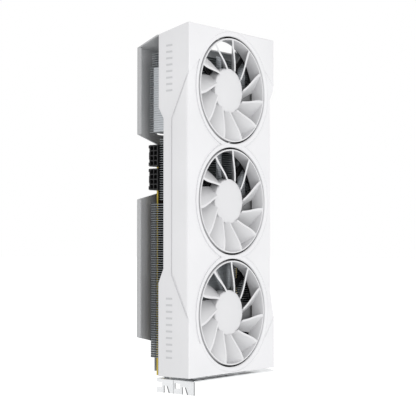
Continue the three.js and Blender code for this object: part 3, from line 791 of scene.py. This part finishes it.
def fin_stack(name, node, back=None, left=(0, 0), right=(0, 0), step=LENGTH, closed=False,
              fold_metal=FOLD_LIT_COPY):
    """Every fin of a stack. Between the heights left and right its side edges are folded over,
    and with right edges go two bands of folds on its front.

    The fins reach back to the node's back, or to back where it is given, apart from their flaps;
    those have folds too, and so has the front below FRONT_CLOSED.
    Above the step they have no folds and reach as far back as STEP_BACK.
    """
    low, high = card_box(node)
    usual_back = back or high.y
    sheets = bmesh.new()
    folds = bmesh.new()
    count = int((high.z - low.z) / FIN_PITCH) + 1
    for n in range(count):
        z = low.z + n * FIN_PITCH
        here = usual_back if z < step else STEP_BACK
        edge_back = high.y if back else here
        extrude(fin_outline((low.x, high.x), low.y, here, edge_back, closed), "z",
                z, z + FIN_SHEET, sheets)
        fold_y = (low.y, min(here, FOLD_BACK))
        fold_z = (z + FIN_SHEET, z + FIN_PITCH - FOLD_GAP)
        if left[0] < z < left[1]:
            block((low.x, low.x + FOLD), fold_y, fold_z, folds)
        if right[0] < z < right[1]:
            block((high.x - FOLD, high.x), fold_y, fold_z, folds)
        if right[1]:
            for fold_x in FRONT_FOLDS:
                block(fold_x, (low.y, low.y + FOLD), fold_z, folds)
        if back:
            block((low.x, low.x + FOLD), (CHANNEL_Y[1], edge_back), fold_z, folds)
            if z < FRONT_CLOSED:
                block((low.x, high.x - 30), (low.y, low.y + FOLD), fold_z, sheets)
    floor_y = (CHANNEL_Y[0] - 0.5, CHANNEL_Y[0])
    block(CHANNEL_X, floor_y, (low.z, low.z + (count - 1) * FIN_PITCH), sheets)
    # The folds take fold_metal: by default the lighter copy of the fin sheet, with painted light, and
    # for the main stack a near-black copy, with painted shade.
    if folds.verts:
        piece(f"{name}_folds", folds, [fold_metal])
    else:
        folds.free()
    return piece(name, sheets, [FIN_METAL], replaces=[node])


def heatpipe(n):
    """A heatpipe: a round tube with its ends spun to a dome."""
    low, high = card_box(f"heatpipe_{n}")
    radius = (high.x - low.x) / 2
    length = high.z - low.z
    dome = [(radius * math.cos(a), radius * (1 - math.sin(a)))
            for a in (math.radians(d) for d in (80, 60, 40, 20, 0))]
    profile = [(0, 0), *dome, *[(r, length - y) for r, y in reversed(dome)], (0, length)]
    bm = lathe(profile, segments=32)
    stand = Matrix.Translation(((low.x + high.x) / 2, (low.y + high.y) / 2, low.z))
    bmesh.ops.transform(bm, matrix=stand @ Matrix.Rotation(math.pi / 2, 4, "X"), verts=bm.verts)
    return piece(f"heatpipe_{n}_tube", bm, [PLATED], replaces=[f"heatpipe_{n}"])


# ---------------------------------------------------------------- backplate and bracket


SHEET = 1.2
NOTCH = (25, 147, 153, 195, 202)  # depth of the power sockets' notch, and its four heights
FOOT_STEP = (22, 26, 31)  # how much narrower the plate's foot is, and the step's two heights
FOOT_Z = card_box("backplate")[0].z
PLATE_SLOPE = 0.388  # of the end wall
PLATE_SCREWS = [card_centre(f"backplate_screw_{n}") for n in range(1, 5)]
GPU_CENTRE = card_centre("retention_brace")


def backplate():
    """The sheet-metal tray, with folded lips and an end wall: its coat outside, and on the inner faces
    a lighter, rougher copy of it, painted light for the shade inside the tray.
    """
    wall_y = card_box("backplate")[0].y

    def plate_end(y):
        return shroud_end(wall_y) - PLATE_SLOPE * (y - wall_y)

    top = plate_end(DEPTH)
    inner = DEPTH - SHEET
    notch_x, low, low_in, high_in, high = NOTCH
    foot_x, foot_low, foot_high = FOOT_STEP
    outline = [
        (0, foot_high), (0, low), (notch_x, low_in), (notch_x, high_in), (0, high), (0, top),
        (WIDTH, top), (WIDTH, FOOT_Z), (foot_x, FOOT_Z), (foot_x, foot_low),
    ]
    tray = extrude(outline, "y", inner, DEPTH)
    lip_y = (DEPTH - 4, DEPTH)
    for x0, z0, z1 in ((0, foot_high, low), (0, high, top - 0.4), (WIDTH - SHEET, FOOT_Z, top - 0.4)):
        tray = boolean(tray, block((x0, x0 + SHEET), lip_y, (z0, z1)), "UNION")
    wall = extrude([
        (wall_y, plate_end(wall_y)), (wall_y, plate_end(wall_y) - SHEET),
        (DEPTH, top - SHEET), (DEPTH, top),
    ], "x", 0, WIDTH)
    tray = boolean(tray, wall, "UNION")
    gusset = extrude([
        (wall_y, plate_end(wall_y) - 0.2), (wall_y, 268), (DEPTH - 3, 246), (DEPTH - 3, top + 0.6),
    ], "x", WIDTH - SHEET, WIDTH)
    tray = boolean(tray, gusset, "UNION")
    vent_left, vent_right, _, vent_back = END_VENT
    vent = block((vent_left, vent_right), (wall_y - 2, vent_back), (LENGTH - 20, LENGTH))
    tray = boolean(tray, vent)
    window = block((23, 107), (inner - 2, DEPTH + 2), (203.5, 262))
    round_edges(window, runs_along("y"), 3, 6)
    tray = boolean(tray, window)
    half = 23
    square = block((GPU_CENTRE.x - half, GPU_CENTRE.x + half), (inner - 2, DEPTH + 2),
                   (GPU_CENTRE.z - half, GPU_CENTRE.z + half))
    round_edges(square, runs_along("y"), 3, 6)
    tray = boolean(tray, square)
    for spot in PLATE_SCREWS:
        tray = boolean(tray, disc(2.6, inner - 2, DEPTH + 2, spot.x, spot.z, 32))
    slot_count, slot_pitch, slot_width = 7, 9, 3
    for n in range(slot_count):
        foot = 28 + slot_pitch * n
        slot = block((96, 104), (inner - 2, DEPTH + 2), (foot, foot + slot_width))
        round_edges(slot, runs_along("y"), 1.4, 4)
        tray = boolean(tray, slot)

    # Painted light: faces inside the tray take the lighter inner copy of the coat; the back face, the
    # outer lips and the end keep the outer one.
    def side(face):
        outward = face.normal.y > 0.3 or abs(face.normal.x) > 0.9
        centre = face.calc_center_median()
        on_lip = centre.x < 0.2 or centre.x > WIDTH - 0.2
        end_face = face.normal.z > 0.5 and centre.z > top - 1
        shown = face.normal.y > 0.9 or (on_lip and outward) or end_face
        return 0 if shown else 1

    return piece("backplate_tray", tray, [PLATE_OUTSIDE, PLATE_INSIDE],
                 replaces=["backplate"], choose=side, soften=0.25)


SLOT_PITCH = 20.32  # of a computer's expansion slots
BRACKET_FACE = -6.0
BRACKET_SHEET = 1.0
BRACKET_EARS = (28.5, 122)
BRACKET_VENTS = (34, 128, 9)  # left end, right end and number of the row of vents


def bracket():
    """The two-slot steel bracket, with its flange, tongues, ears, vents and socket openings."""
    x0 = BRACKET_LOW.x
    outer, thick = BRACKET_FACE, BRACKET_SHEET
    y0, y1 = BRACKET_LOW.y, BRACKET_HIGH.y
    body = block((x0, 137.5), (y0, y1), (outer, outer + thick))
    tip = BRACKET_LOW.z

    def flange_outline(coined):
        points = [(y0, outer + thick), (y0, tip)]
        for notch in (26.4, 26.4 + SLOT_PITCH):
            points += [(notch - 4.6 - coined, tip), (notch - 2.1 - coined, -11), (notch, -11),
                       (notch, tip)]
        return points + [(y1, tip), (y1, outer + thick)]

    body = boolean(body, loft(flange_outline(2.0), flange_outline(0), "x", x0, x0 + thick), "UNION")
    round_edges(body, lambda edge: all(near(v.co.x, x0) and near(v.co.z, outer + thick)
                                       for v in edge.verts), 0.9, 4)
    for slot, reach in ((0, 9.0), (1, 0.0)):
        low = 49.15 - slot * SLOT_PITCH
        body = boolean(body, block((x0 - 2, x0 + 3), (low, low + 5.7 + reach), (-12.6, -8.2)))
    for slot in (0, 1):
        low = 41.3 - slot * SLOT_PITCH
        tongue = extrude([(136, low - 3), (138, low), (143.5, low), (143.5, low + 10.2),
                          (138, low + 10.2), (136, low + 13)], "z", outer, outer + thick)
        body = boolean(body, tongue, "UNION")
    for x in BRACKET_EARS:
        ear = block((x - 3.5, x + 3.5), (47.9, 48.9), (outer + 0.5, 7))
        body = boolean(body, ear, "UNION")
        body = boolean(body, disc(1.45, 44, 52, x, 2.5, 24))
    for n in range(1, 5):
        low, high = card_box(f"video_socket_{n}")
        body = boolean(body, block((low.x - 0.3, high.x + 0.3), (low.y - 0.3, high.y + 0.3), (-9, -3)))
    left, right, count = BRACKET_VENTS
    for n in range(count):
        x = left + (n + 0.5) * (right - left) / count
        vent = block((x - 1.6, x + 1.6), (18, 36), (-9, -3))
        round_edges(vent, runs_along("z"), 1.5, 4)
        body = boolean(body, vent)
    crease = block((x0 - 1, x0 + 0.25), (35.9, 36.3), (tip - 1, outer))
    body = boolean(body, crease)

    # Painted shade: flange faces below the bracket face that turn along the card take the dark steel
    # copy.
    def in_notch_shade(face):
        low_down = face.calc_center_median().z < outer - 1
        return 1 if low_down and abs(face.normal.x) < 0.95 and abs(face.normal.y) > 0.3 else 0

    return piece("io_bracket_plate", body, [BRACKET_METAL, NOTCH_SHADE_STEEL],
                 replaces=["io_bracket"], choose=in_notch_shade, soften=0.12)


def video_socket(n):
    """A metal shell with a black insert, its tongue and a row of gold contacts."""
    low, high = card_box(f"video_socket_{n}")
    x, y, z = (low.x, high.x), (low.y, high.y), (low.z, high.z)
    wall = 0.6
    shell = block(x, y, z)
    shell = boolean(shell, block((x[0] + wall, x[1] - wall), (y[0] + wall, y[1] - wall),
                                 (z[0] - 1, z[0] + 9)))
    piece(f"video_socket_{n}_shell", shell, [BRACKET_METAL],
          replaces=[f"video_socket_{n}"], soften=0.12)
    gap = 0.75
    insert = block((x[0] + gap, x[1] - gap), (y[0] + gap, y[1] - gap), (z[0] + 7.6, z[0] + 8.9))
    middle = (y[0] + y[1]) / 2
    tongue = block((x[0] + 3, x[1] - 3), (middle - 0.7, middle + 0.7), (z[0] + 1.2, z[0] + 8))
    piece(f"video_socket_{n}_insert", merge(insert, tongue), [SOCKET_BLACK],
          soften=0.1)
    contacts = bmesh.new()
    for k in range(10):
        left = x[0] + 3.6 + k * 1.06
        block((left, left + 0.5), (middle - 0.78, middle - 0.69), (z[0] + 1.6, z[0] + 6), contacts)
    piece(f"video_socket_{n}_contacts", contacts, [GOLD])


# ---------------------------------------------------------------- board


def circuit_board():
    """The board: black faces, yellow sawn edges, a keyed tab and screw holes."""
    tab_x = BOARD_HIGH.x
    edge_x = 127.5
    chamfer = 1.0
    corner_x, corner_z = BOARD_LOW.x + 11, 192
    outline = [
        (BOARD_LOW.x, BOARD_LOW.z), (edge_x, BOARD_LOW.z), (edge_x, 38), (tab_x - chamfer, 38),
        (tab_x, 38 + chamfer), (tab_x, 49.6), (tab_x - 7.4, 49.6), (tab_x - 7.4, 51.5),
        (tab_x, 51.5), (tab_x, 124 - chamfer), (tab_x - chamfer, 124), (edge_x, 124), (edge_x, 130),
        (132.5, 130), (132.5, 133), (edge_x, 133), (edge_x, BOARD_HIGH.z),
        (corner_x, BOARD_HIGH.z), (corner_x, corner_z), (BOARD_LOW.x, corner_z),
    ]
    body = extrude(outline, "y", BOARD_LOW.y, BOARD_HIGH.y)
    screws = [f"brace_screw_{n}" for n in range(1, 5)] + [f"bracket_screw_{n}" for n in (1, 2)]
    for centre in map(card_centre, screws):
        body = boolean(body, disc(1.45, 47, 53, centre.x, centre.z, 24))
    return piece("board", body, [SOLDER_MASK, BOARD_EDGE], replaces=["circuit_board"],
                 choose=lambda face: 0 if abs(face.normal.y) > 0.5 else 1)


def edge_contacts():
    """The gold pads on both faces of the tab, at 1 mm pitch on each side of the key."""
    bm = bmesh.new()
    skin, pitch, width = 0.04, 1, 0.7
    x1 = BOARD_HIGH.x - 0.9
    for y0, y1 in ((BOARD_LOW.y - skin, BOARD_LOW.y + 0.1), (BOARD_HIGH.y - 0.1, BOARD_HIGH.y + skin)):
        for start, count in ((38.7, 11), (52.4, 71)):
            for n in range(count):
                z = start + n * pitch
                block((127.9, x1), (y0, y1), (z, z + width), bm)
    return piece("edge_contacts", bm, [PAD_GOLD])


def board_parts():
    """Small ceramic parts and solid capacitors on the open stretches of the board's front."""
    rng = random.Random(7)
    face = BOARD_LOW.y
    small = bmesh.new()
    for _ in range(120):
        x = rng.uniform(27, 120)
        z = rng.choice((rng.uniform(18, 58), rng.uniform(156, 164), rng.uniform(178, 194)))
        size = rng.choice(((1.6, 0.8), (1.0, 0.5), (2.0, 1.2)))
        if rng.random() < 0.5:
            size = size[::-1]
        block((x, x + size[0]), (face - 0.7, face - 0.02), (z, z + size[1]), small)
    piece("ceramic_parts", small, [FERRITE], soften=0.05)
    cans = bmesh.new()
    for n in range(7):
        x = 36 + 10.5 * n
        radius = 3.1
        lathe([(0, face - 6.4), (radius - 0.5, face - 6.4), (radius, face - 5.9), (radius, face - 0.5),
               (radius - 0.3, face - 0.05), (0, face - 0.05)], x, 186, 32, cans)
    return piece("capacitors", cans, [SCREW_METAL])


def power_socket(n):
    """An eight-way power header: a black housing with lined pockets, a latch ramp and pins."""
    low, high = card_box(f"power_socket_{n}")
    back = BOARD_LOW.y - 0.3
    body = block((low.x, high.x), (low.y, back), (low.z, high.z))
    pitch = 4.2
    middle_y = (low.y + back) / 2
    middle_z = (low.z + high.z) / 2
    pins = bmesh.new()
    for row in (-0.5, 0.5):
        for column in (-1.5, -0.5, 0.5, 1.5):
            y = middle_y + row * pitch
            z = middle_z + column * pitch
            half = 1.72
            key = 0.8
            pocket = extrude([
                (y - half, z - half), (y + half, z - half), (y + half, z + half - key * (column > 0)),
                (y + half - key, z + half), (y - half + key * (column < 0), z + half),
                (y - half, z + half - 0.9),
            ], "x", low.x - 1, low.x + 9)
            body = boolean(body, pocket)
            block((low.x + 4, low.x + 9.2), (y - 0.5, y + 0.5), (z - 0.5, z + 0.5), pins)
    ramp = extrude([(8, back - 0.1), (14, back - 0.1), (14, back + 0.5), (9.4, high.y), (8, high.y)],
                   "z", middle_z - 3, middle_z + 3)
    body = boolean(body, ramp, "UNION")
    for z0, z1 in ((low.z + 0.6, low.z + 3.4), (high.z - 2.8, high.z - 0.4)):
        rib = block((low.x, high.x - 2), (back - 0.1, back + 0.8), (z0, z1))
        body = boolean(body, rib, "UNION")
    piece(f"power_socket_{n}_housing", body, [SOCKET_BLACK],
          replaces=[f"power_socket_{n}"], soften=0.15)
    piece(f"power_socket_{n}_pins", pins, [PIN_METAL], soften=0.1)


def screw(node):
    """A flat-headed screw with a cross recess, in place of a plain CAD one."""
    low, high = card_box(node)
    centre = card_centre(node)
    radius = (high.x - low.x) / 2
    head = high.y - 1
    body = lathe([
        (0, low.y), (0.9, low.y), (1.15, low.y + 0.3), (1.15, head), (radius - 0.1, head),
        (radius, head + 0.15), (radius, high.y - 0.3), (radius - 0.35, high.y), (0, high.y),
    ], centre.x, centre.z, 32)
    half, arm = 0.32, 1.25
    for reach in ((arm, half), (half, arm)):
        bar = block((centre.x - reach[0], centre.x + reach[0]), (high.y - 0.7, high.y + 1),
                    (centre.z - reach[1], centre.z + reach[1]))
        body = boolean(body, bar)
    return piece(f"{node}_crosshead", body, [SCREW_METAL], replaces=[node])


# ---------------------------------------------------------------- scene


def camera():
    """The photograph's view: from the fan side and the long edge, a little below the middle."""
    data = bpy.data.cameras.new("camera")
    data.lens = 101.93
    data.sensor_width = 36
    data.clip_end = 20
    obj = bpy.data.objects.new("camera", data)
    obj.location = CORNER + Vector((-737.1, -613.6, 109.0)) * MM
    azimuth, elevation = math.radians(51.174), math.radians(1.774)
    obj.rotation_euler = (math.pi / 2 + elevation, 0, -azimuth)
    bpy.context.scene.collection.objects.link(obj)
    bpy.context.scene.camera = obj


def floor():
    """A bright white studio floor at the height of the bracket's flange."""
    material, shader = new_material("floor_white", (0.12, 0.12, 0.12), 0.85)
    vary_roughness(material, shader, noise(material, 3), 0.8, 0.9)
    shader.inputs["Emission Color"].default_value = (1, 1, 1, 1)
    shader.inputs["Emission Strength"].default_value = 0.96
    mesh = bpy.data.meshes.new("studio_floor")
    reach = 8.0
    height = CORNER.z + BRACKET_LOW.z * MM - 0.0005
    corners = [(-reach, -reach), (reach, -reach), (reach, reach), (-reach, reach)]
    mesh.from_pydata([(x, y, height) for x, y in corners], [], [(0, 1, 2, 3)])
    mesh.materials.append(material)
    obj = bpy.data.objects.new("studio_floor", mesh)
    bpy.context.scene.collection.objects.link(obj)


def area_light(name, place, target, size, power):
    """A square light at a place, aimed at a target."""
    data = bpy.data.lights.new(name, "AREA")
    data.shape = "SQUARE"
    data.size = size
    data.energy = power
    obj = bpy.data.objects.new(name, data)
    obj.location = place
    aim = Vector(target) - Vector(place)
    obj.rotation_euler = aim.to_track_quat("-Z", "Y").to_euler()
    bpy.context.scene.collection.objects.link(obj)


def studio():
    """Even white light all round, a soft key light on the fans and a weaker one on the long side."""
    world = bpy.data.worlds.new("studio")
    world.use_nodes = True
    background = world.node_tree.nodes["Background"]
    background.inputs["Color"].default_value = (1, 1, 1, 1)
    background.inputs["Strength"].default_value = 1.0
    bpy.context.scene.world = world
    target = CORNER + Vector((60, 28, 140)) * MM
    area_light("key", target + Vector((-0.4, -1.6, 0.05)), target, 0.7, 10)
    area_light("side", target + Vector((-1.6, -0.3, 0.4)), target, 0.6, 0.6)
    bpy.context.scene.view_settings.view_transform = "Standard"


# ---------------------------------------------------------------- build


camera()
studio()
floor()

shroud()
side_ticks()
for fan in FANS:
    rotor(fan)
    fan_frame(fan)
    stator(fan)
    dress(f"fan_{fan}_bearing", BRONZE)
    dress(f"fan_{fan}_shaft", SCREW_METAL)

fin_stack("main_fins", "fin_stack_main", back=47.5, fold_metal=SHADED_FOLDS)
fin_stack("power_fins", "fin_stack_power", right=(0, LENGTH))
fin_stack("tail_fins", "fin_stack_tail", left=(0, 258), right=(0, 258), step=260, closed=True)
for pipe in range(1, 6):
    heatpipe(pipe)
dress("cold_plate", COPPER, 0.3)

backplate()
bracket()
for socket in range(1, 5):
    video_socket(socket)

circuit_board()
edge_contacts()
board_parts()
for socket in (1, 2):
    power_socket(socket)
dress("gpu_package", SOLDER_MASK, 0.1)
dress("gpu_die", SILICON, 0.05)
for chip in range(1, 7):
    dress(f"memory_{chip}", CHIP_BLACK, 0.12)
for coil in range(1, 5):
    dress(f"choke_{coil}", FERRITE, 0.5)
dress("retention_brace", SPRING_METAL, 0.2)
for count, kind in ((4, "backplate_screw"), (4, "brace_screw"), (2, "bracket_screw")):
    for number in range(1, count + 1):
        screw(f"{kind}_{number}")
